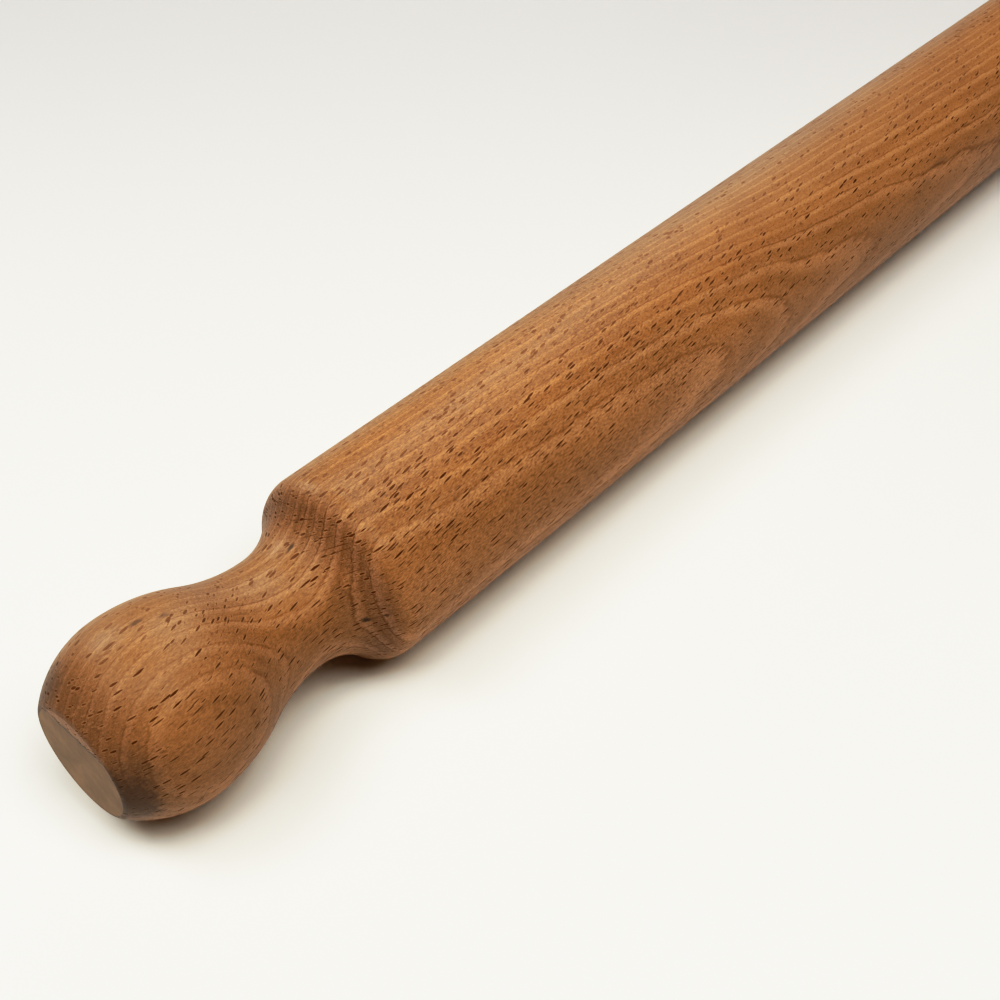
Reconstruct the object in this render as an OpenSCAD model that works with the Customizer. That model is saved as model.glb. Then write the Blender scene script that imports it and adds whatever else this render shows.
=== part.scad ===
// A rolling pin turned from one length of beech: a straight barrel and, at each end,
// a neck and a knob cut from the same wood. It lies along X on the surface z = 0.

/* [Pin] */
// Length over both end faces
overall_l = 500; // [380:5:600]
// Diameter of the straight barrel
barrel_d = 50; // [44:1:60]

/* [Knob] */
// Diameter of the flat end face
face_d = 26.8; // [16:0.2:34]
// Radius that rounds the edge of the end face
rim_r = 2.6; // [1:0.1:2.8]
// Widest diameter of the knob
knob_d = 46.4; // [42:0.2:52]
// Length from the end face to the knob's widest ring
nose_l = 19.4; // [12:0.2:26]

/* [Neck] */
// Narrowest diameter of the neck
neck_d = 30; // [24:0.5:36]
// Length from the knob's widest ring to the narrowest ring of the neck
back_l = 36; // [26:0.5:48]
// Share of that slope's curve that bulges as the knob, the rest being the neck's hollow
back_share = 0.52; // [0.3:0.01:0.7]

/* [Shoulder] */
// Length from the narrowest ring of the neck to the full barrel
cove_l = 20.4; // [16:0.2:30]
// Radius that rounds the shoulder into the barrel
shoulder_r = 8.4; // [3:0.2:12]

/* [Hidden] */
$fn = 128;
// Degrees of arc between two points of the outline
arc_step = 3;
beech = [0.64, 0.44, 0.28];

barrel_r = barrel_d / 2;
knob_r = knob_d / 2;
neck_r = neck_d / 2;
face_r = face_d / 2;

knob_at = nose_l;
neck_at = knob_at + back_l;
barrel_at = neck_at + cove_l;

// The nose arc touches the rim's arc from outside and lies level at the knob's widest ring
nose_run = knob_at - rim_r;
nose_drop = knob_r - face_r;
nose_r = (nose_run * nose_run + nose_drop * nose_drop - rim_r * rim_r) / (2 * (nose_drop - rim_r));
nose_turn = asin(nose_run / (nose_r - rim_r));

// Two arcs that are level at their far ends and meet on a common slope: their radii add up to this
function radii_sum(run, rise) = (run * run + rise * rise) / (2 * rise);

back_sum = radii_sum(back_l, knob_r - neck_r);
back_turn = asin(back_l / back_sum);
back_r = back_share * back_sum;
hollow_r = back_sum - back_r;

cove_sum = radii_sum(cove_l, barrel_r - neck_r);
cove_turn = asin(cove_l / cove_sum);
cove_r = cove_sum - shoulder_r;

// Points along an arc between two bearings, without its last point
function arc(centre, r, from, to) =
    let (steps = ceil(abs(to - from) / arc_step))
    [for (i = [0 : steps - 1]) centre + r * unit(from + (to - from) * i / steps)];

function unit(bearing) = [cos(bearing), sin(bearing)];

// One end's outline, as distances from the end face and from the axis
end_outline = concat(
    [[0, 0]],
    arc([rim_r, face_r], rim_r, 180, 90 + nose_turn),
    arc([knob_at, knob_r - nose_r], nose_r, 90 + nose_turn, 90),
    arc([knob_at, knob_r - back_r], back_r, 90, 90 - back_turn),
    arc([neck_at, neck_r + hollow_r], hollow_r, 270 - back_turn, 270),
    arc([neck_at, neck_r + cove_r], cove_r, 270, 270 + cove_turn),
    arc([barrel_at, barrel_r - shoulder_r], shoulder_r, 90 + cove_turn, 90),
    [[barrel_at, barrel_r]]
);

// The same outline from the middle of the pin, with the radius first and the length up
near_side = [for (p = end_outline) [p.y, p.x - overall_l / 2]];
far_side = [for (i = [len(near_side) - 1 : -1 : 0]) [near_side[i].x, -near_side[i].y]];

module rolling_pin() {
    color(beech)
        translate([0, 0, barrel_r])
            rotate([0, 90, 0])
                rotate_extrude()
                    polygon(concat(near_side, far_side));
}

rolling_pin();
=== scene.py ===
import bpy
import math
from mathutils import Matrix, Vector


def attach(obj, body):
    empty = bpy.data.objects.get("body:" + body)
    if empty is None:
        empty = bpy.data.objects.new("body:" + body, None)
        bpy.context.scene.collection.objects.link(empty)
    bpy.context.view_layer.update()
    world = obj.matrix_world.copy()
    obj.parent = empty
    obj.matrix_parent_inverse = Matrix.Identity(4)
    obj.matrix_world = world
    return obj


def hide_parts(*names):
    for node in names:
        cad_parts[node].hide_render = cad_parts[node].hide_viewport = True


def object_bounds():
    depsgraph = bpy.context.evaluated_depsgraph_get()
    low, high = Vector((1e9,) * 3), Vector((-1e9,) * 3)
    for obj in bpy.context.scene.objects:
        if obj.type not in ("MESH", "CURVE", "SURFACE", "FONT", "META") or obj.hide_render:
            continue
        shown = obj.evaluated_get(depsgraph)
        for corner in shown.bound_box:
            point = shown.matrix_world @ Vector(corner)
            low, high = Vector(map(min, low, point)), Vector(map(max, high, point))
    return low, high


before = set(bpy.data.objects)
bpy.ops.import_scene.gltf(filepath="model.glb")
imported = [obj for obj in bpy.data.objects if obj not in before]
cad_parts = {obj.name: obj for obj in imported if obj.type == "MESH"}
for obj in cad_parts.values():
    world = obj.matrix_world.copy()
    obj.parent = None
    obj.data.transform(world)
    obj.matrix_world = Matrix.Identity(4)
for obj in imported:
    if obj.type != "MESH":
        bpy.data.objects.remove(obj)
cadLow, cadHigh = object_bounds()
pinLength = cadHigh.x - cadLow.x
barrelRadius = (cadHigh.z - cadLow.z) / 2
halfLength = pinLength * 500  # in millimetres, as all lengths in the wood are


class Wire:
    # An output socket. Arithmetic on it adds Math nodes to its tree.
    def __init__(self, graph, socket):
        self.graph = graph
        self.socket = socket

    def math(self, operation, *others):
        values = dict(enumerate((self,) + others))
        return self.graph.add("ShaderNodeMath", {"operation": operation}, values)

    def also(self, output):
        return Wire(self.graph, self.graph.pick(self.socket.node.outputs, output))

    def __add__(self, other):
        return self.math("ADD", other)

    __radd__ = __add__

    def __sub__(self, other):
        return self.math("SUBTRACT", other)

    def __rsub__(self, other):
        return self.graph.add("ShaderNodeMath", {"operation": "SUBTRACT"}, {0: other, 1: self})

    def __mul__(self, other):
        return self.math("MULTIPLY", other)

    __rmul__ = __mul__

    def __truediv__(self, other):
        return self.math("DIVIDE", other)

    def __rtruediv__(self, other):
        return self.graph.add("ShaderNodeMath", {"operation": "DIVIDE"}, {0: other, 1: self})

    def __pow__(self, other):
        return self.math("POWER", other)

    def __lt__(self, other):
        return self.math("LESS_THAN", other)

    def __abs__(self):
        return self.math("ABSOLUTE")


class Graph:
    # A node tree that is filled from Python
    def __init__(self, tree):
        self.tree = tree

    def pick(self, sockets, name):
        if isinstance(name, int):
            return sockets[name]
        return next(x for x in sockets if x.name == name and x.enabled)

    def add(self, kind, settings=None, values=None, output=0):
        node = self.tree.nodes.new(kind)
        column, row = divmod(len(self.tree.nodes), 10)
        node.location = (column * 190, row * -170)
        for name, value in (settings or {}).items():
            if name == "stops":
                self.setStops(node.color_ramp.elements, value)
            elif name == "points":
                self.setPoints(node.mapping, value)
            else:
                setattr(node, name, value)
        for name, value in (values or {}).items():
            socket = self.pick(node.inputs, name)
            if isinstance(value, Wire):
                self.tree.links.new(value.socket, socket)
            else:
                socket.default_value = value
        return Wire(self, self.pick(node.outputs, output)) if node.outputs else None

    def setStops(self, elements, stops):
        while len(elements) < len(stops):
            elements.new(1.0)
        for element, (position, tone) in zip(elements, stops):
            element.position = position
            element.color = (*tone, 1.0) if isinstance(tone, tuple) else (tone, tone, tone, 1.0)

    def setPoints(self, mapping, points):
        curve = mapping.curves[0]
        while len(curve.points) < len(points):
            curve.points.new(1.0, 1.0)
        for point, place in zip(curve.points, points):
            point.location = place
        mapping.update()

    def vector(self, x, y, z):
        return self.add("ShaderNodeCombineXYZ", None, {0: x, 1: y, 2: z})

    def noise(self, place, scale, detail=2.0, roughness=0.5):
        values = {"Vector": place, "Scale": scale, "Detail": detail, "Roughness": roughness}
        return self.add("ShaderNodeTexNoise", None, values)

    def smooth(self, value, low, high, toLow=0.0, toHigh=1.0):
        values = {"Value": value, "From Min": low, "From Max": high, "To Min": toLow, "To Max": toHigh}
        return self.add("ShaderNodeMapRange", {"interpolation_type": "SMOOTHSTEP"}, values, "Result")

    def stretch(self, place, longWise, crossWise):
        # Draws a pattern out to this length along the grain and this width across it
        values = {0: place, 1: (1 / longWise, 1 / crossWise, 1 / crossWise)}
        return self.add("ShaderNodeVectorMath", {"operation": "MULTIPLY"}, values)

    def curve(self, value, points):
        # Looks a value up on a smooth curve through these points
        low, high = points[0][0], points[-1][0]
        heights = [y for _, y in points]
        least, rise = min(heights), max(heights) - min(heights)
        scaled = [((x - low) / (high - low), (y - least) / rise) for x, y in points]
        values = {"Value": (value - low) / (high - low)}
        return self.add("ShaderNodeFloatCurve", {"points": scaled}, values) * rise + least

    def reach(self, place, direction):
        # How far a place lies in this direction
        values = {0: place, 1: direction}
        return self.add("ShaderNodeVectorMath", {"operation": "DOT_PRODUCT"}, values, "Value")

    def scale(self, vector, factor):
        return self.add("ShaderNodeVectorMath", {"operation": "SCALE"}, {0: vector, "Scale": factor})

    def blend(self, factor, first, second, way="MIX"):
        values = {0: factor, 6: first, 7: second}
        return self.add("ShaderNodeMix", {"data_type": "RGBA", "blend_type": way}, values, 2)


# The pin's shape, in metres. The length and the barrel come from the frame.
pinShape = {
    "Length": pinLength,
    "Barrel radius": barrelRadius,
    "Face radius": 0.0134,
    "Rim radius": 0.0026,
    "Knob radius": 0.0232,
    "Nose length": 0.0194,
    "Neck radius": 0.015,
    "Back length": 0.036,
    "Back share": 0.52,
    "Cove length": 0.0204,
    "Shoulder radius": 0.0084,
    "Wobble": 0.00005,  # how far the sander strayed from a true round
    "Sides": 192,
    "Rings per arc": 20,
    "Barrel rings": 50,
    "Face rings": 6,
}
bakeMap = "OFBake"  # the map to bake the finish through
# Where the two end faces lie in that map, as shares of it: in a strip above the turned side
faceMap = {"strip": 0.06, "middle": 0.15, "halfWidth": 0.1, "filled": 0.46}
wobbleWaves = (25.0, 70.0, 70.0)  # per metre, along the pin and across it
mergeGap = 0.000001


def turnedPinTree(shape, finish):
    tree = bpy.data.node_groups.new("turned pin", "GeometryNodeTree")
    graph = Graph(tree)
    tree.interface.new_socket("Pin", in_out="OUTPUT", socket_type="NodeSocketGeometry")
    for name, value in shape.items():
        kind = "NodeSocketInt" if isinstance(value, int) else "NodeSocketFloat"
        socket = tree.interface.new_socket(name, in_out="INPUT", socket_type=kind)
        socket.default_value = value
    entry = graph.add("NodeGroupInput")
    size = {name: entry.also(name) for name in shape}
    axis = size["Barrel radius"]
    rim = size["Rim radius"]
    knobAt = size["Nose length"]
    neckAt = knobAt + size["Back length"]
    barrelAt = neckAt + size["Cove length"]

    # The nose touches the rim's arc from outside and lies level at the knob's widest ring
    noseRun = knobAt - rim
    noseDrop = size["Knob radius"] - size["Face radius"]
    nose = (noseRun * noseRun + noseDrop * noseDrop - rim * rim) / (2 * (noseDrop - rim))
    noseTurn = (noseRun / (nose - rim)).math("ARCSINE")

    # Two arcs, level at their far ends, that meet on a common slope
    def slope(run, rise):
        radii = (run * run + rise * rise) / (2 * rise)
        return radii, (run / radii).math("ARCSINE")

    radii, backTurn = slope(size["Back length"], size["Knob radius"] - size["Neck radius"])
    back = radii * size["Back share"]
    hollow = radii - back
    radii, coveTurn = slope(size["Cove length"], size["Barrel radius"] - size["Neck radius"])
    shoulder = size["Shoulder radius"]
    cove = radii - shoulder

    place = graph.add("GeometryNodeInputPosition")
    flat = graph.add("ShaderNodeSeparateXYZ", None, {0: place})
    across = flat + 0.5  # 0 to 1 along a strip's outline
    around = flat.also("Y") + 0.5  # 0 to 1 round the pin, from its underside
    turn = around * math.tau + math.pi

    def turned(along, radius, rings, mapPlace):
        values = {"Size X": 1.0, "Size Y": 1.0, "Vertices X": rings + 1, "Vertices Y": size["Sides"] + 1}
        grid = graph.add("GeometryNodeMeshGrid", None, values, "Mesh")
        values = {"Geometry": grid, "Name": bakeMap, "Value": mapPlace}
        settings = {"data_type": "FLOAT2", "domain": "CORNER"}
        grid = graph.add("GeometryNodeStoreNamedAttribute", settings, values)
        spot = graph.vector(along, radius * turn.math("SINE"), axis + radius * turn.math("COSINE"))
        return graph.add("GeometryNodeSetPosition", None, {"Geometry": grid, "Position": spot})

    quarter = math.pi / 2
    arcs = [
        (rim, size["Face radius"], rim, math.pi, quarter + noseTurn),
        (knobAt, size["Knob radius"] - nose, nose, quarter + noseTurn, quarter),
        (knobAt, size["Knob radius"] - back, back, quarter, quarter - backTurn),
        (neckAt, size["Neck radius"] + hollow, hollow, 3 * quarter - backTurn, 3 * quarter),
        (neckAt, size["Neck radius"] + cove, cove, 3 * quarter, 3 * quarter + coveTurn),
        (barrelAt, size["Barrel radius"] - shoulder, shoulder, quarter + coveTurn, quarter),
    ]
    halfBarrel = size["Length"] / 2 - barrelAt
    lengths = [radius * abs(end - start) for _, _, radius, start, end in arcs] + [halfBarrel]
    halfOutline = sum(lengths[1:], lengths[0])
    strip = faceMap["strip"]
    strips = []
    passed = 0.0
    for (centreAlong, centreOut, radius, start, end), length in zip(arcs, lengths):
        angle = start + (end - start) * across
        along = centreAlong + radius * angle.math("COSINE")
        out = centreOut + radius * angle.math("SINE")
        mapAlong = (passed + length * across) / (2 * halfOutline)
        mapPlace = graph.vector(mapAlong, around * (1 - strip), 0.0)
        strips.append(turned(along, out, size["Rings per arc"], mapPlace))
        passed = length + passed
    mapAlong = (passed + halfBarrel * across) / (2 * halfOutline)
    mapPlace = graph.vector(mapAlong, around * (1 - strip), 0.0)
    strips.append(turned(barrelAt + halfBarrel * across, axis, size["Barrel rings"], mapPlace))
    faceAcross = faceMap["middle"] + faceMap["halfWidth"] * across * turn.math("SINE")
    faceUp = 1 - strip / 2 + strip * faceMap["filled"] * across * turn.math("COSINE")
    face = graph.vector(faceAcross, faceUp, 0.0)
    strips.append(turned(across * 0.0, size["Face radius"] * across, size["Face rings"], face))

    nearHalf = graph.add("GeometryNodeJoinGeometry")
    for part in reversed(strips):
        tree.links.new(part.socket, nearHalf.socket.node.inputs[0])
    values = {"Geometry": nearHalf, "Translation": graph.vector(size["Length"] / -2, 0.0, 0.0)}
    nearHalf = graph.add("GeometryNodeTransform", None, values)
    farHalf = graph.add("GeometryNodeTransform", None, {"Geometry": nearHalf, "Scale": (-1.0, 1.0, 1.0)})
    farHalf = graph.add("GeometryNodeFlipFaces", None, {"Mesh": farHalf})
    settings = {"data_type": "FLOAT_VECTOR"}
    stored = graph.add("GeometryNodeInputNamedAttribute", settings, {"Name": bakeMap}, "Attribute")
    stored = graph.add("ShaderNodeSeparateXYZ", None, {0: stored})
    swapped = graph.vector(1 - stored, stored.also("Y"), 0.0)
    settings = {"data_type": "FLOAT2", "domain": "CORNER"}
    values = {"Geometry": farHalf, "Name": bakeMap, "Value": swapped}
    farHalf = graph.add("GeometryNodeStoreNamedAttribute", settings, values)
    pin = graph.add("GeometryNodeJoinGeometry")
    for half in (farHalf, nearHalf):
        tree.links.new(half.socket, pin.socket.node.inputs[0])
    pin = graph.add("GeometryNodeMergeByDistance", None, {"Geometry": pin, "Distance": mergeGap})

    # Sanding leaves the round a little uneven, always inwards of the true size
    values = {0: place, 1: (0.0, 1.0, 1.0)}
    outward = graph.add("ShaderNodeVectorMath", {"operation": "MULTIPLY"}, values)
    values = {0: outward, 1: graph.vector(0.0, 0.0, axis)}
    outward = graph.add("ShaderNodeVectorMath", {"operation": "SUBTRACT"}, values)
    outward = graph.add("ShaderNodeVectorMath", {"operation": "NORMALIZE"}, {0: outward})
    values = {0: place, 1: wobbleWaves}
    stretched = graph.add("ShaderNodeVectorMath", {"operation": "MULTIPLY"}, values)
    depth = size["Wobble"] * graph.noise(stretched, 1.0, 1.0)
    values = {"Geometry": pin, "Offset": graph.scale(outward, depth * -1)}
    pin = graph.add("GeometryNodeSetPosition", None, values)
    pin = graph.add("GeometryNodeSetShadeSmooth", None, {"Geometry": pin})
    pin = graph.add("GeometryNodeRealizeInstances", None, {"Geometry": pin})
    pin = graph.add("GeometryNodeSetMaterial", None, {"Geometry": pin, "Material": finish})
    graph.add("NodeGroupOutput", None, {0: pin})
    return tree


def meshFromNodes(name, tree, inputs):
    piece = bpy.data.objects.new(name, bpy.data.meshes.new(name))
    bpy.context.scene.collection.objects.link(piece)
    modifier = piece.modifiers.new(tree.name, "NODES")
    modifier.node_group = tree
    for socket in tree.interface.items_tree:
        if socket.in_out == "INPUT" and socket.name in inputs:
            modifier[socket.identifier] = inputs[socket.name]
    shaped = piece.evaluated_get(bpy.context.evaluated_depsgraph_get())
    mesh = bpy.data.meshes.new_from_object(shaped)
    mesh.materials.pop(index=0)  # the empty slot of the strips, which no face wears
    piece.modifiers.clear()
    piece.data = mesh
    mesh.name = name
    return piece


# The wood. Lengths are millimetres from the near end face and from the pin's axis, and
# bearings are degrees round the axis from the top towards the near side.
beech = {
    "paleWood": (0.424, 0.218, 0.101),
    "deepWood": (0.297, 0.141, 0.052),
    "ringLine": (0.17, 0.06, 0.016),
    "rayBrown": (0.1, 0.024, 0.0),
    "rayEdge": (0.6, 0.36, 0.18),  # the pale wood beside a large ray
    "warmLight": (1.0, 0.89, 0.68),  # what painted warm light multiplies the top of the wood by
    "warmLightSide": (0.0, -0.1, 0.995),  # towards the painted warm light
    "warmLightFrom": (20.5, 24.0),  # how far out that way the painted warm light begins, and where it is full
    # how strong the painted warm light on the top of the pin is along it
    "paintedWarmth": ((0, 0), (60, 0), (95, 0.9), (200, 0.9), (270, 0.3), (500, 0.5)),
    # how strong the painted sheen on the back of the pin is along it
    "paintedBackSheen": ((0, 0), (70, 0), (84, 1), (120, 0.85), (180, 0.35), (260, 0), (500, 0)),
    "backSheenFrom": (1.0, 11.0),  # how far behind the axis it begins, and where it is full
    "backSheenLift": 0.22,  # how much the painted sheen brightens the back there
    # how bright the wood is, and how much each pattern adds to that
    "brightness": {"least": 0.655, "fibre": 0.25, "ripple": 1.8, "patch": 0.45},
    # how crowded the rays are, and how coarse the wood, along the pin
    "rayCrowd": ((0, 0.75), (60, 0.85), (85, 1.1), (160, 1.1), (250, 0.65), (500, 0.75)),
    # the colour of the stains, and of the painted shade among the marks
    "stainAndShade": (0.06, 0.032, 0.02),
    "endGrain": (0.68, 0.68, 0.78),  # what end grain multiplies the wood's colour by
    "endGrainFrom": (0.25, 0.85),  # how squarely the surface cuts the fibres where it begins and is full
    # where each growth ring begins, out from the axis away from the pith, and its number
    "rings": ((-45, -13.5), (-8.0, -1), (-5.2, 0), (-2.4, 1), (0.5, 2), (4.2, 3), (7.1, 4), (9.8, 5),
              (13.1, 6), (16.8, 7), (20.1, 8), (24.6, 9), (30, 11)),
    "pithDistance": 190.0,
    "pithBearing": (71.5, 80.0),  # away from the pith, at each end of pithTurn
    "pithTurn": (60.0, 215.0),
    # how far the rings have climbed through the wood along the pin
    "climb": ((0, -0.6), (28, -0.6), (50, 0.1), (76, 0.9), (100, 2.1), (140, 2.55), (160, 2.9),
              (175, 3.4), (190, 4.4), (215, 6.7), (245, 10.4), (275, 12.1), (310, 14.0), (400, 16.6),
              (500, 17.8)),
    # how pale the wood is from a ring's beginning to its end
    "ringTone": ((0.0, 0.45), (0.05, 0.9), (0.13, 1.0), (0.24, 0.75), (0.36, 0.28), (0.5, 0.1),
                 (0.7, 0.3), (0.88, 0.42), (0.96, 0.1), (1.0, 0.45)),
    # how strong that is, and how much more by each ring's luck and where the ring isn't broken up
    "ringContrast": {"middle": 0.45, "least": 0.6, "luck": 0.25, "whole": 0.45},
    # how dark a ring's last line is, and how much more by luck, on the clear ring and in end grain
    "lineDark": {"least": 0.14, "luck": 0.35, "clear": 0.4, "cut": 0.3},
    "lineShare": (0.89, 0.94, 0.97, 1.0),  # where in a ring the line begins, is full, fades and ends
    "flatRings": (0.15, 0.6, 0.9),  # where rings lie flat in the surface, and how weak they get there
    # the finer lines that end grain shows in each ring: their number, half width and darkness
    "fineLines": 2,
    "fineHalf": (0.09, 0.03),
    "fineDark": (0.1, 0.32),
    "ringSway": 1.8,  # how far the rings stray from a true round
    "ringRagged": 0.25,  # and how far single fibres reach into the next ring, as a share of a ring
    "clearRing": 4,  # the ring whose last line is the plainest
    "grainSlope": 0.12,  # how the fibres wind round the pin
    "specular": 0.16,
    "roughness": {"least": 0.42, "rays": 0.3, "ripple": 0.15, "face": 0.08},
    "reliefDepth": 0.0001,  # in metres
    "relief": {"ripple": 0.5, "fibre": 0.25, "large rays": -0.5, "small rays": -0.2},
}
# What grows weaker towards the end faces: where it is weakest, where it is full, and how weak it gets
endFades = {
    "brightness": (5.0, 20.0, 0.86),
    "ring tone": (15.0, 60.0, 0.65),
    "end grain lines": (12.0, 40.0, 0.3),
    "small rays": (30.0, 75.0, 0.4),
}
# How long and how wide the wood's patterns are
grainSizes = {
    "fibre": (9.0, 0.8),
    "ripple": (0.95, 0.3),
    "patch": (30.0, 12.0),
    "sway": (40.0, 12.0),
    "breaks": (12.0, 3.0),
}
# Rays: the cell that holds one, its half size, and the share of cells that hold one. The
# variety is the least share of a length, width or darkness, and how much more luck gives.
largeRays = {"cell": (3.8, 1.45, 1.3), "half": (1.85, 0.21, 0.58), "share": 0.8, "seed": 3.7}
smallRays = {"cell": (2.0, 0.9, 1.0), "half": (0.75, 0.12, 0.5), "share": 0.65, "seed": 41.3}
endRays = {"cell": (7.0, 1.7, 9.0), "half": (5.0, 0.13, 4.5), "share": 0.75, "seed": 17.9}
rayVariety = {"length": (0.65, 0.6), "width": (0.7, 0.5), "dark": (0.7, 0.3)}
rayLook = {
    "ragged": 0.6,
    "pale edge": 0.2,  # how strong the pale wood beside a ray is
    "small": 0.5,  # how dark small rays are
    # how squarely the surface faces a ray's flat side, from where to where it weakens the rays,
    # and how weak they get
    "flat": (0.98, 0.75, 0.55),
    "end rays": (15.0, 50.0, 0.2, 0.8),  # along the pin, from and to, and how dark at each
}
endFace = {
    "wood": (0.235, 0.14, 0.078),
    "rimLine": (0.07, 0.035, 0.018),
    "speck": (0.6, 0.5, 0.38),
    # the sanded flat stops short of the rim on this side, this far from the axis
    "edgeSide": (0.0, -0.06, 0.998),
    "edgeAt": 9.3,
    "edgeRagged": 2.5,
    # from where to where, past that edge, the flat ends, the dark line along it begins and
    # ends, and the dark line round the rim ends
    "flatEnds": (0.3, -0.2),
    "lineBegins": (-0.3, 0.2),
    "lineEnds": (1.6, 0.7),
    "rimLineEnds": (0.7, -0.5),
    "level": (0.985, 0.999),  # how squarely the flat faces along the pin
    "rimDark": 0.85,  # how strong the dark line round it is
    "paintedFlatLight": 0.45,  # how much painted light lifts the unsanded strip, which cancels its end-grain darkening
}
markEdge = {"outside": 1.25, "full": 0.35, "ragged": 1.2}  # as shares of a mark's half size
# Dark marks, real stains and some painted shade: distance from the end face and from the axis,
# bearing, half size along and across, and how dark
stainsAndShade = [
    {"name": "nose, near side", "at": 2.2, "out": 16.8, "bearing": 88, "half": (4.6, 10), "dark": 0.75},
    {"name": "nose, by the rim", "at": 4, "out": 17.4, "bearing": 70, "half": (5.5, 9), "dark": 0.4},
    {"name": "nose, far side", "at": 3.5, "out": 17.7, "bearing": -46, "half": (5, 8), "dark": 0.5},
    {"name": "shoulder knot", "at": 65.5, "out": 18.3, "bearing": 80, "half": (2.4, 0.8), "dark": 1.0},
    {"name": "check at the knot", "at": 69, "out": 21.6, "bearing": 79, "half": (5, 0.55), "dark": 0.8},
    {"name": "ray by the shoulder", "at": 62, "out": 16.3, "bearing": -4, "half": (3, 0.6), "dark": 0.8},
    {"name": "wide ray", "at": 22, "out": 23.1, "bearing": -9, "half": (1.9, 0.9), "dark": 0.55},
    {"name": "next wide ray", "at": 27.7, "out": 22.6, "bearing": -3, "half": (1.7, 0.8), "dark": 0.55},
    # The next three are painted shade, darkening the side turned towards the near side
    {"name": "painted shade, shoulder's foot", "at": 62, "out": 16.6, "bearing": 68, "half": (4.5, 9), "dark": 0.25},
    {"name": "painted shade, near side", "at": 36, "out": 20, "bearing": 76, "half": (42, 13), "dark": 0.2},
    {"name": "painted shade, near side of the far half", "at": 300, "out": 22, "bearing": 84, "half": (95, 13), "dark": 0.17},
    {"name": "hook in the rings", "at": 304, "out": 25, "bearing": 67, "half": (4.5, 2.8), "dark": 0.3},
    {"name": "tail of the hook", "at": 312, "out": 25, "bearing": 60, "half": (7, 1.6), "dark": 0.3},
]


def woodSpace(graph):
    # Object space in millimetres, turned so that the growth rings lie square to "out"
    values = {"Vector": graph.add("ShaderNodeTexCoord", None, None, "Object")}
    values["Location"] = (halfLength, 0.0, barrelRadius * -1000)
    values["Scale"] = (1000.0, 1000.0, 1000.0)
    place = graph.add("ShaderNodeMapping", None, values)
    along = graph.add("ShaderNodeSeparateXYZ", None, {0: place})
    side, up = along.also("Y"), along.also("Z")
    low, high = (math.radians(x) for x in beech["pithBearing"])
    bearing = graph.smooth(along, *beech["pithTurn"], low, high)
    sine, cosine = bearing.math("SINE"), bearing.math("COSINE")
    out = up * cosine - side * sine
    across = (side * cosine + up * sine) * -1
    # How squarely the surface cuts the fibres, and how squarely it faces the rays' flat sides
    normal = graph.add("ShaderNodeTexCoord", None, None, "Normal")
    facing = graph.add("ShaderNodeSeparateXYZ", None, {0: normal})
    rayFacing = abs(facing.also("Y") * cosine + facing.also("Z") * sine)
    return place, along, out, across, abs(facing), rayFacing


def fromEnd(along):
    # Distance from the nearer end face
    return halfLength - abs(along - halfLength)


def endFade(graph, along, name):
    weakest, full, left = endFades[name]
    return graph.smooth(fromEnd(along), weakest, full, left, 1.0)


def byLuck(luck, variety):
    least, more = variety
    return least + more * luck


def growthRings(graph, place, along, out, across, fibre, cut, rayFacing):
    # Returns 0 in the late wood to 1 in the early wood, and how dark the ring's last line is
    far = out + beech["pithDistance"]
    depth = (far * far + across * across).math("SQRT") - beech["pithDistance"]
    sway = graph.noise(graph.stretch(place, *grainSizes["sway"]), 1.0, 3.0, 0.6) - 0.5
    sway = sway * beech["ringSway"]
    ring = graph.curve(depth - graph.curve(along, beech["climb"]) + sway, beech["rings"])
    ring = ring + (fibre - 0.5) * beech["ringRagged"]
    number = ring.math("FLOOR")
    share = ring - number
    luck = graph.add("ShaderNodeTexWhiteNoise", {"noise_dimensions": "1D"}, {"W": number}, "Value")
    tone = graph.add("ShaderNodeValToRGB", {"stops": beech["ringTone"]}, {0: share})
    broken = graph.noise(graph.stretch(place, *grainSizes["breaks"]), 1.0, 2.0)
    broken = graph.smooth(broken, 0.35, 0.65)
    plain = graph.smooth(rayFacing, *beech["flatRings"], 1.0) * endFade(graph, along, "ring tone")
    weight = beech["ringContrast"]
    contrast = weight["least"] + weight["luck"] * luck + weight["whole"] * broken
    tone = weight["middle"] + (tone - weight["middle"]) * contrast * plain
    begins, full, fades, ends = beech["lineShare"]
    line = graph.smooth(share, begins, full) * graph.smooth(share, ends, fades)
    clear = abs(number - beech["clearRing"]) < 0.5
    cut = cut * endFade(graph, along, "end grain lines")
    weight = beech["lineDark"]
    dark = weight["least"] + weight["luck"] * luck * broken
    dark = dark + weight["clear"] * clear + weight["cut"] * cut
    line = line * dark * plain
    fine = (ring * beech["fineLines"] + 0.4 * sway + 0.5).math("FRACT")
    fine = graph.smooth(abs(fine - 0.5), *beech["fineHalf"]) * cut * byLuck(luck, beech["fineDark"])
    return tone, line.math("MAXIMUM", fine)


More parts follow.
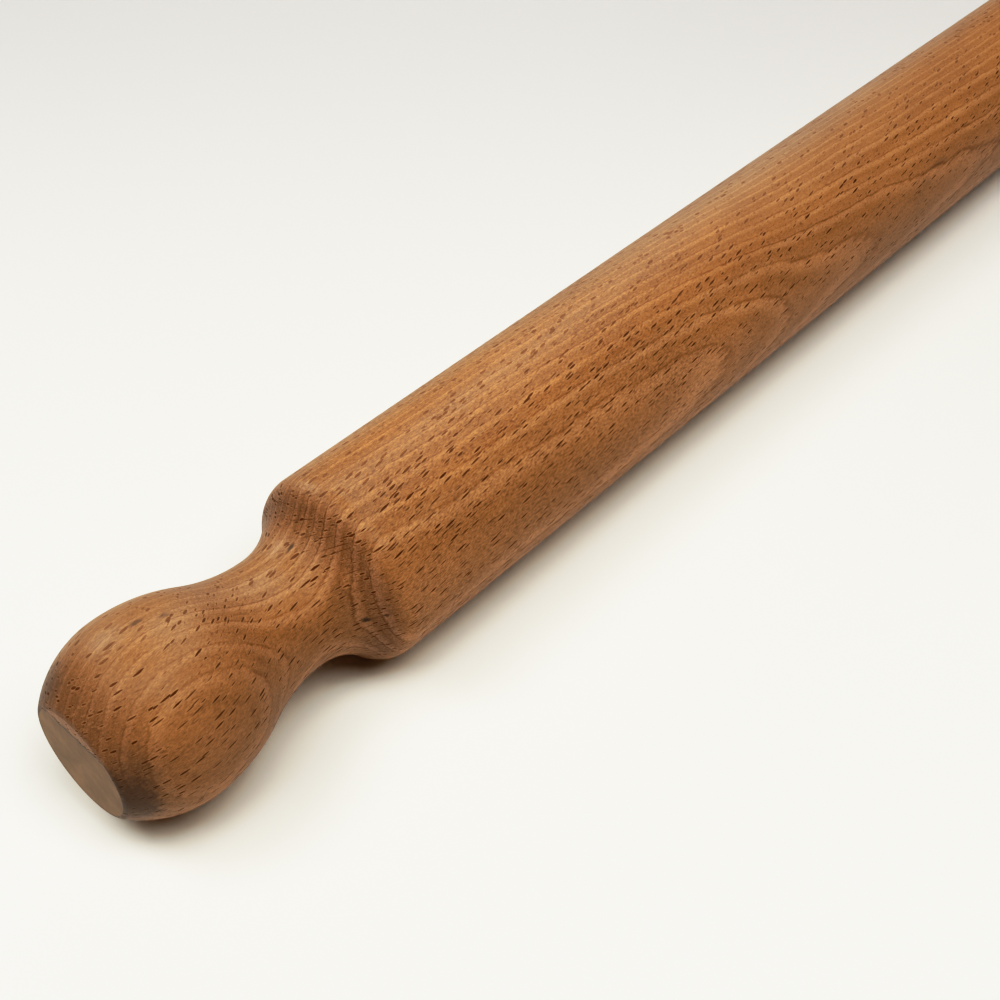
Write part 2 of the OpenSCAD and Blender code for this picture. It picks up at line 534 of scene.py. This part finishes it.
def rayFlecks(graph, along, across, out, rays, crowd, ragged):
    # Rays are upright plates of cells, a few millimetres long and thin across
    cells = rays["cell"]
    spot = graph.vector(*(x / cell + rays["seed"] for x, cell in zip((along, across, out), cells)))
    values = {"Vector": spot, "Scale": 1.0}
    centre = graph.add("ShaderNodeTexVoronoi", {"voronoi_dimensions": "3D"}, values, "Position")
    gap = graph.add("ShaderNodeVectorMath", {"operation": "SUBTRACT"}, {0: spot, 1: centre})
    gap = graph.add("ShaderNodeSeparateXYZ", None, {0: gap})
    luck = graph.add("ShaderNodeSeparateColor", None, {0: centre.also("Color")})
    longest, widest, deepest = (cell / half for cell, half in zip(cells, rays["half"]))
    lengthwise = gap * longest / byLuck(luck, rayVariety["length"])
    widthwise = abs(gap.also("Y")) * widest / byLuck(luck.also("Green"), rayVariety["width"])
    inwards = gap.also("Z") * deepest
    inside = 1 - lengthwise * lengthwise - widthwise - (inwards * inwards) ** 2 + ragged
    there = luck.also("Blue") < crowd * rays["share"]
    return graph.smooth(inside, 0.0, 0.3) * there, graph.smooth(inside, -1.2, 0.0) * there, luck


def stainAndShadeMarks(graph, place, ragged):
    # Marks that the photo shows in one place only
    marks = []
    for stainAndShade in stainsAndShade:
        bearing = math.radians(stainAndShade["bearing"])
        spot = (stainAndShade["at"], -stainAndShade["out"] * math.sin(bearing), stainAndShade["out"] * math.cos(bearing))
        gap = graph.add("ShaderNodeVectorMath", {"operation": "SUBTRACT"}, {0: place, 1: spot})
        lengthwise, crosswise = stainAndShade["half"]
        values = {0: gap, 1: (1 / lengthwise, 1 / crosswise, 1 / crosswise)}
        gap = graph.add("ShaderNodeVectorMath", {"operation": "MULTIPLY"}, values)
        away = graph.add("ShaderNodeVectorMath", {"operation": "LENGTH"}, {0: gap}, "Value")
        mark = graph.smooth(away + ragged, markEdge["outside"], markEdge["full"])
        marks.append(mark * stainAndShade["dark"])
    dark = marks[0]
    for mark in marks[1:]:
        dark = dark.math("MAXIMUM", mark)
    return dark


def beechFinish():
    finish = bpy.data.materials.new("turned beech")
    finish.use_nodes = True
    finish.node_tree.nodes.clear()
    graph = Graph(finish.node_tree)
    place, along, out, across, facing, rayFacing = woodSpace(graph)
    cut = graph.smooth(facing, *beech["endGrainFrom"])
    # Rays fan out from the pith, and wind round the pin with the grain
    fan = across * beech["pithDistance"] / (out + beech["pithDistance"]) + along * beech["grainSlope"]
    grain = graph.vector(along, fan, out)
    fibre = graph.noise(graph.stretch(grain, *grainSizes["fibre"]), 1.0, 3.0, 0.6)
    ripple = graph.noise(graph.stretch(grain, *grainSizes["ripple"]), 1.0, 2.0, 0.65)
    tone, line = growthRings(graph, place, along, out, across, fibre, cut, rayFacing)
    patch = graph.noise(graph.stretch(place, *grainSizes["patch"]), 1.0, 2.0)
    ragged = (ripple - 0.5) * rayLook["ragged"]
    crowd = graph.curve(along, beech["rayCrowd"])
    large, largeEdge, rayLuck = rayFlecks(graph, along, fan, out, largeRays, crowd, ragged)
    fewer = crowd * endFade(graph, along, "small rays")
    small, _, _ = rayFlecks(graph, along, fan, out, smallRays, fewer, ragged)
    ends, _, _ = rayFlecks(graph, along, fan, out, endRays, crowd, ragged)

    wood = graph.blend(tone, (*beech["deepWood"], 1.0), (*beech["paleWood"], 1.0))
    wood = graph.blend(line, wood, (*beech["ringLine"], 1.0))
    weight = beech["brightness"]
    shade = weight["least"] + weight["fibre"] * fibre + weight["ripple"] * (ripple - 0.5) * crowd
    shade = shade + weight["patch"] * patch
    # Painted sheen: the back of the barrel by the shoulder is made paler
    behind = graph.smooth(graph.reach(place, (0.0, 1.0, 0.0)), *beech["backSheenFrom"])
    shade = shade * (1 + beech["backSheenLift"] * graph.curve(along, beech["paintedBackSheen"]) * behind)
    wood = graph.scale(wood, shade * endFade(graph, along, "brightness"))

    # Painted warm light: the top of the barrel is tinted warmer
    onTop = graph.smooth(graph.reach(place, beech["warmLightSide"]), *beech["warmLightFrom"])
    paintedWarmth = graph.curve(along, beech["paintedWarmth"]) * onTop
    wood = graph.blend(paintedWarmth, wood, graph.blend(1.0, wood, (*beech["warmLight"], 1.0), "MULTIPLY"))

    # End grain drinks more oil, so it is darker where the surface cuts across the fibres
    wood = graph.blend(cut, wood, graph.blend(1.0, wood, (*beech["endGrain"], 1.0), "MULTIPLY"))
    flat = graph.smooth(rayFacing, *rayLook["flat"], 1.0)
    pale = largeEdge * (1 - large) * rayLook["pale edge"] * flat
    wood = graph.blend(pale, wood, (*beech["rayEdge"], 1.0))
    darkRays = large * byLuck(rayLuck.also("Green"), rayVariety["dark"]) * flat
    darkRays = darkRays.math("MAXIMUM", small * rayLook["small"] * flat)
    darkRays = darkRays.math("MAXIMUM", ends * cut * graph.smooth(along, *rayLook["end rays"]))
    wood = graph.blend(darkRays, wood, (*beech["rayBrown"], 1.0))
    # Stains, and painted shade on the near side
    marks = stainAndShadeMarks(graph, place, (fibre - 0.5) * markEdge["ragged"])
    wood = graph.blend(marks, wood, (*beech["stainAndShade"], 1.0))

    # The end faces were sanded smooth: greyer, with a dark line round the rim and a few pale specks
    level = graph.smooth(facing, *endFace["level"])
    atEnd = graph.smooth(fromEnd(along), 8.0, 1.0)
    upward = graph.reach(place, endFace["edgeSide"])
    upward = upward + (graph.noise(place, 0.45, 2.0) - 0.5) * endFace["edgeRagged"]

    def pastEdge(name):
        start, end = endFace[name]
        return graph.smooth(upward, endFace["edgeAt"] + start, endFace["edgeAt"] + end)

    face = level * pastEdge("flatEnds")
    edgeLine = pastEdge("lineBegins") * pastEdge("lineEnds") * level
    rimLine = graph.smooth(facing, 0.6, 0.93) * (1 - level) * pastEdge("rimLineEnds")
    rimLine = rimLine.math("MAXIMUM", edgeLine)
    rimLine = rimLine * atEnd * graph.smooth(graph.noise(place, 0.35, 2.0), 0.35, 0.55, 0.45, 1.0)
    specks = graph.smooth(graph.noise(place, 0.9, 3.0, 0.7), 0.66, 0.76)
    faceShade = 0.5 + graph.noise(place, 0.14, 3.0, 0.65)
    faceWood = graph.blend(specks * 0.5, (*endFace["wood"], 1.0), (*endFace["speck"], 1.0))
    faceWood = graph.scale(faceWood, faceShade)
    # Painted light: the unsanded strip of the flat is made paler
    wood = graph.scale(wood, 1 + endFace["paintedFlatLight"] * level * atEnd)
    wood = graph.blend(rimLine * endFace["rimDark"], wood, (*endFace["rimLine"], 1.0))
    wood = graph.blend(face, wood, faceWood)

    weight = beech["relief"]
    height = weight["ripple"] * ripple + weight["fibre"] * fibre
    height = height + weight["large rays"] * large + weight["small rays"] * small
    values = {"Height": height * (1 - face), "Distance": beech["reliefDepth"], "Strength": 1.0}
    relief = graph.add("ShaderNodeBump", None, values)
    weight = beech["roughness"]
    rougher = (weight["rays"] * darkRays + weight["ripple"] * (ripple - 0.5)) * (1 - face)
    roughness = weight["least"] + rougher + weight["face"] * face
    values = {"Base Color": wood, "Roughness": roughness, "Normal": relief}
    values["Specular IOR Level"] = beech["specular"]
    surface = graph.add("ShaderNodeBsdfPrincipled", None, values)
    graph.add("ShaderNodeOutputMaterial", None, {"Surface": surface})
    return finish


def makeRollingPin():
    tree = turnedPinTree(pinShape, beechFinish())
    pin = meshFromNodes("rollingPin", tree, pinShape)
    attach(pin, "root")
    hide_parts("rolling_pin")
    print("turned pin:", len(pin.data.polygons), "faces")
    return pin


# A pale painted table top, in metres, with painted light falloff: a little darker away from the window
table = {
    "width": 3.2,
    "nearPaintLit": (0.96, 0.964, 0.943),
    "farPaintShaded": (0.712, 0.7, 0.73),
    "away": (0.74, 0.67, 0.0),  # the direction in which the painted falloff darkens the table
    "change": (-0.15, 0.3),  # and from where to where
    "roughness": 0.6,
    "specular": 0.1,
}


def makeTable():
    half = table["width"] / 2
    corners = [(-half, -half, 0), (half, -half, 0), (half, half, 0), (-half, half, 0)]
    mesh = bpy.data.meshes.new("table")
    mesh.from_pydata(corners, [], [(0, 1, 2, 3)])
    top = bpy.data.objects.new("table", mesh)
    bpy.context.scene.collection.objects.link(top)
    paint = bpy.data.materials.new("table paint")
    paint.use_nodes = True
    paint.node_tree.nodes.clear()
    graph = Graph(paint.node_tree)
    place = graph.add("ShaderNodeTexCoord", None, None, "Object")
    away = graph.smooth(graph.reach(place, table["away"]), *table["change"])
    colour = graph.blend(away, (*table["nearPaintLit"], 1.0), (*table["farPaintShaded"], 1.0))
    values = {"Base Color": colour, "Roughness": table["roughness"]}
    values["Specular IOR Level"] = table["specular"]
    surface = graph.add("ShaderNodeBsdfPrincipled", None, values)
    graph.add("ShaderNodeOutputMaterial", None, {"Surface": surface})
    mesh.materials.append(paint)
    print("table made")


# The camera stands over the near handle and looks along the pin
photoView = {
    "place": (-0.3227, -0.1824, 0.2703),
    "lookAt": (-0.1135, 0.0050, 0.0),
    "lens": 51.31,
    "sensor": 36.0,
}


def placeCamera():
    data = bpy.data.cameras.new("photo view")
    data.lens = photoView["lens"]
    data.sensor_width = photoView["sensor"]
    camera = bpy.data.objects.new("photo view", data)
    camera.location = photoView["place"]
    aim = Vector(photoView["lookAt"]) - camera.location
    camera.rotation_euler = aim.to_track_quat("-Z", "Y").to_euler()
    bpy.context.scene.collection.objects.link(camera)
    bpy.context.scene.camera = camera
    print("camera placed")


# Soft light: wide lamps round the table. Bearings are degrees from the near side towards the
# far end, heights are degrees above the table, strengths are watts per square metre at the pin.
lamps = [
    {"name": "over the near side", "bearing": 0, "height": 75, "strength": 0.86},
    {"name": "over the near end", "bearing": 300, "height": 75, "strength": 0.62},
    {"name": "window", "bearing": 4, "height": 60, "strength": 1.02},
    {"name": "back left", "bearing": 225, "height": 60, "strength": 1.05},
    {"name": "near end", "bearing": 270, "height": 60, "strength": 0.72},
    {"name": "low back right", "bearing": 135, "height": 14, "strength": 0.42},
    # the next ones stand for bright things in the room that the oiled wood mirrors
    {"name": "back wall", "bearing": 180, "height": 30, "strength": 2.0, "sheenOnly": True},
    {"name": "back right wall", "bearing": 135, "height": 45, "strength": 1.9, "sheenOnly": True},
    {"name": "ceiling by the far end", "bearing": 90, "height": 60, "strength": 1.6, "sheenOnly": True},
]
lampSetting = {"away": 2.0, "width": 24.0, "aim": (-0.1, 0.0, 0.0), "colour": (1.0, 0.98, 0.885)}
# The room is dim where it lights the pin, and pale where it is seen behind the table
room = {"colour": (1.0, 0.95, 0.86), "strength": 0.02, "seen": (0.8, 0.79, 0.76)}
# How the camera sets light against its white, as (light, picture) pairs
film = {
    "white": 2.0,
    "curve": ((0, 0), (0.02, 0.005), (0.05, 0.02), (0.1, 0.052), (0.2, 0.135), (0.45, 0.42), (0.9, 0.82),
              (1.25, 0.94), (2.0, 1.0)),
}


def lightTheRoom():
    away = lampSetting["away"]
    for lamp in lamps:
        data = bpy.data.lights.new(lamp["name"], "AREA")
        data.shape = "DISK"
        data.size = 2 * away * math.tan(math.radians(lampSetting["width"] / 2))
        data.energy = lamp["strength"] * math.pi * away * away
        data.color = lampSetting["colour"]
        light = bpy.data.objects.new(lamp["name"], data)
        bearing, height = math.radians(lamp["bearing"]), math.radians(lamp["height"])
        level = math.cos(height)
        outward = Vector((math.sin(bearing) * level, math.cos(bearing) * -level, math.sin(height)))
        light.location = Vector(lampSetting["aim"]) + outward * away
        light.rotation_euler = (-outward).to_track_quat("-Z", "Y").to_euler()
        light.visible_diffuse = not lamp.get("sheenOnly", False)
        bpy.context.scene.collection.objects.link(light)
    world = bpy.data.worlds.new("bright room")
    world.use_nodes = True
    world.node_tree.nodes.clear()
    graph = Graph(world.node_tree)
    seen = graph.add("ShaderNodeLightPath", None, None, "Is Camera Ray")
    dim = [x * room["strength"] for x in room["colour"]]
    colour = graph.blend(seen, (*dim, 1.0), (*room["seen"], 1.0))
    background = graph.add("ShaderNodeBackground", None, {"Color": colour, "Strength": 1.0})
    graph.add("ShaderNodeOutputWorld", None, {"Surface": background})
    bpy.context.scene.world = world
    print("lamps:", len(lamps))


def developPicture():
    look = bpy.context.scene.view_settings
    look.view_transform = "Standard"
    look.use_curve_mapping = True
    mapping = look.curve_mapping
    mapping.white_level = [film["white"]] * 3
    curve = mapping.curves[3]  # all colours together
    while len(curve.points) < len(film["curve"]):
        curve.points.new(1.0, 1.0)
    for point, (light, picture) in zip(curve.points, film["curve"]):
        point.location = (light / film["white"], picture)
    mapping.update()
    print("film points:", len(curve.points))


placeCamera()
lightTheRoom()
developPicture()
makeTable()
makeRollingPin()
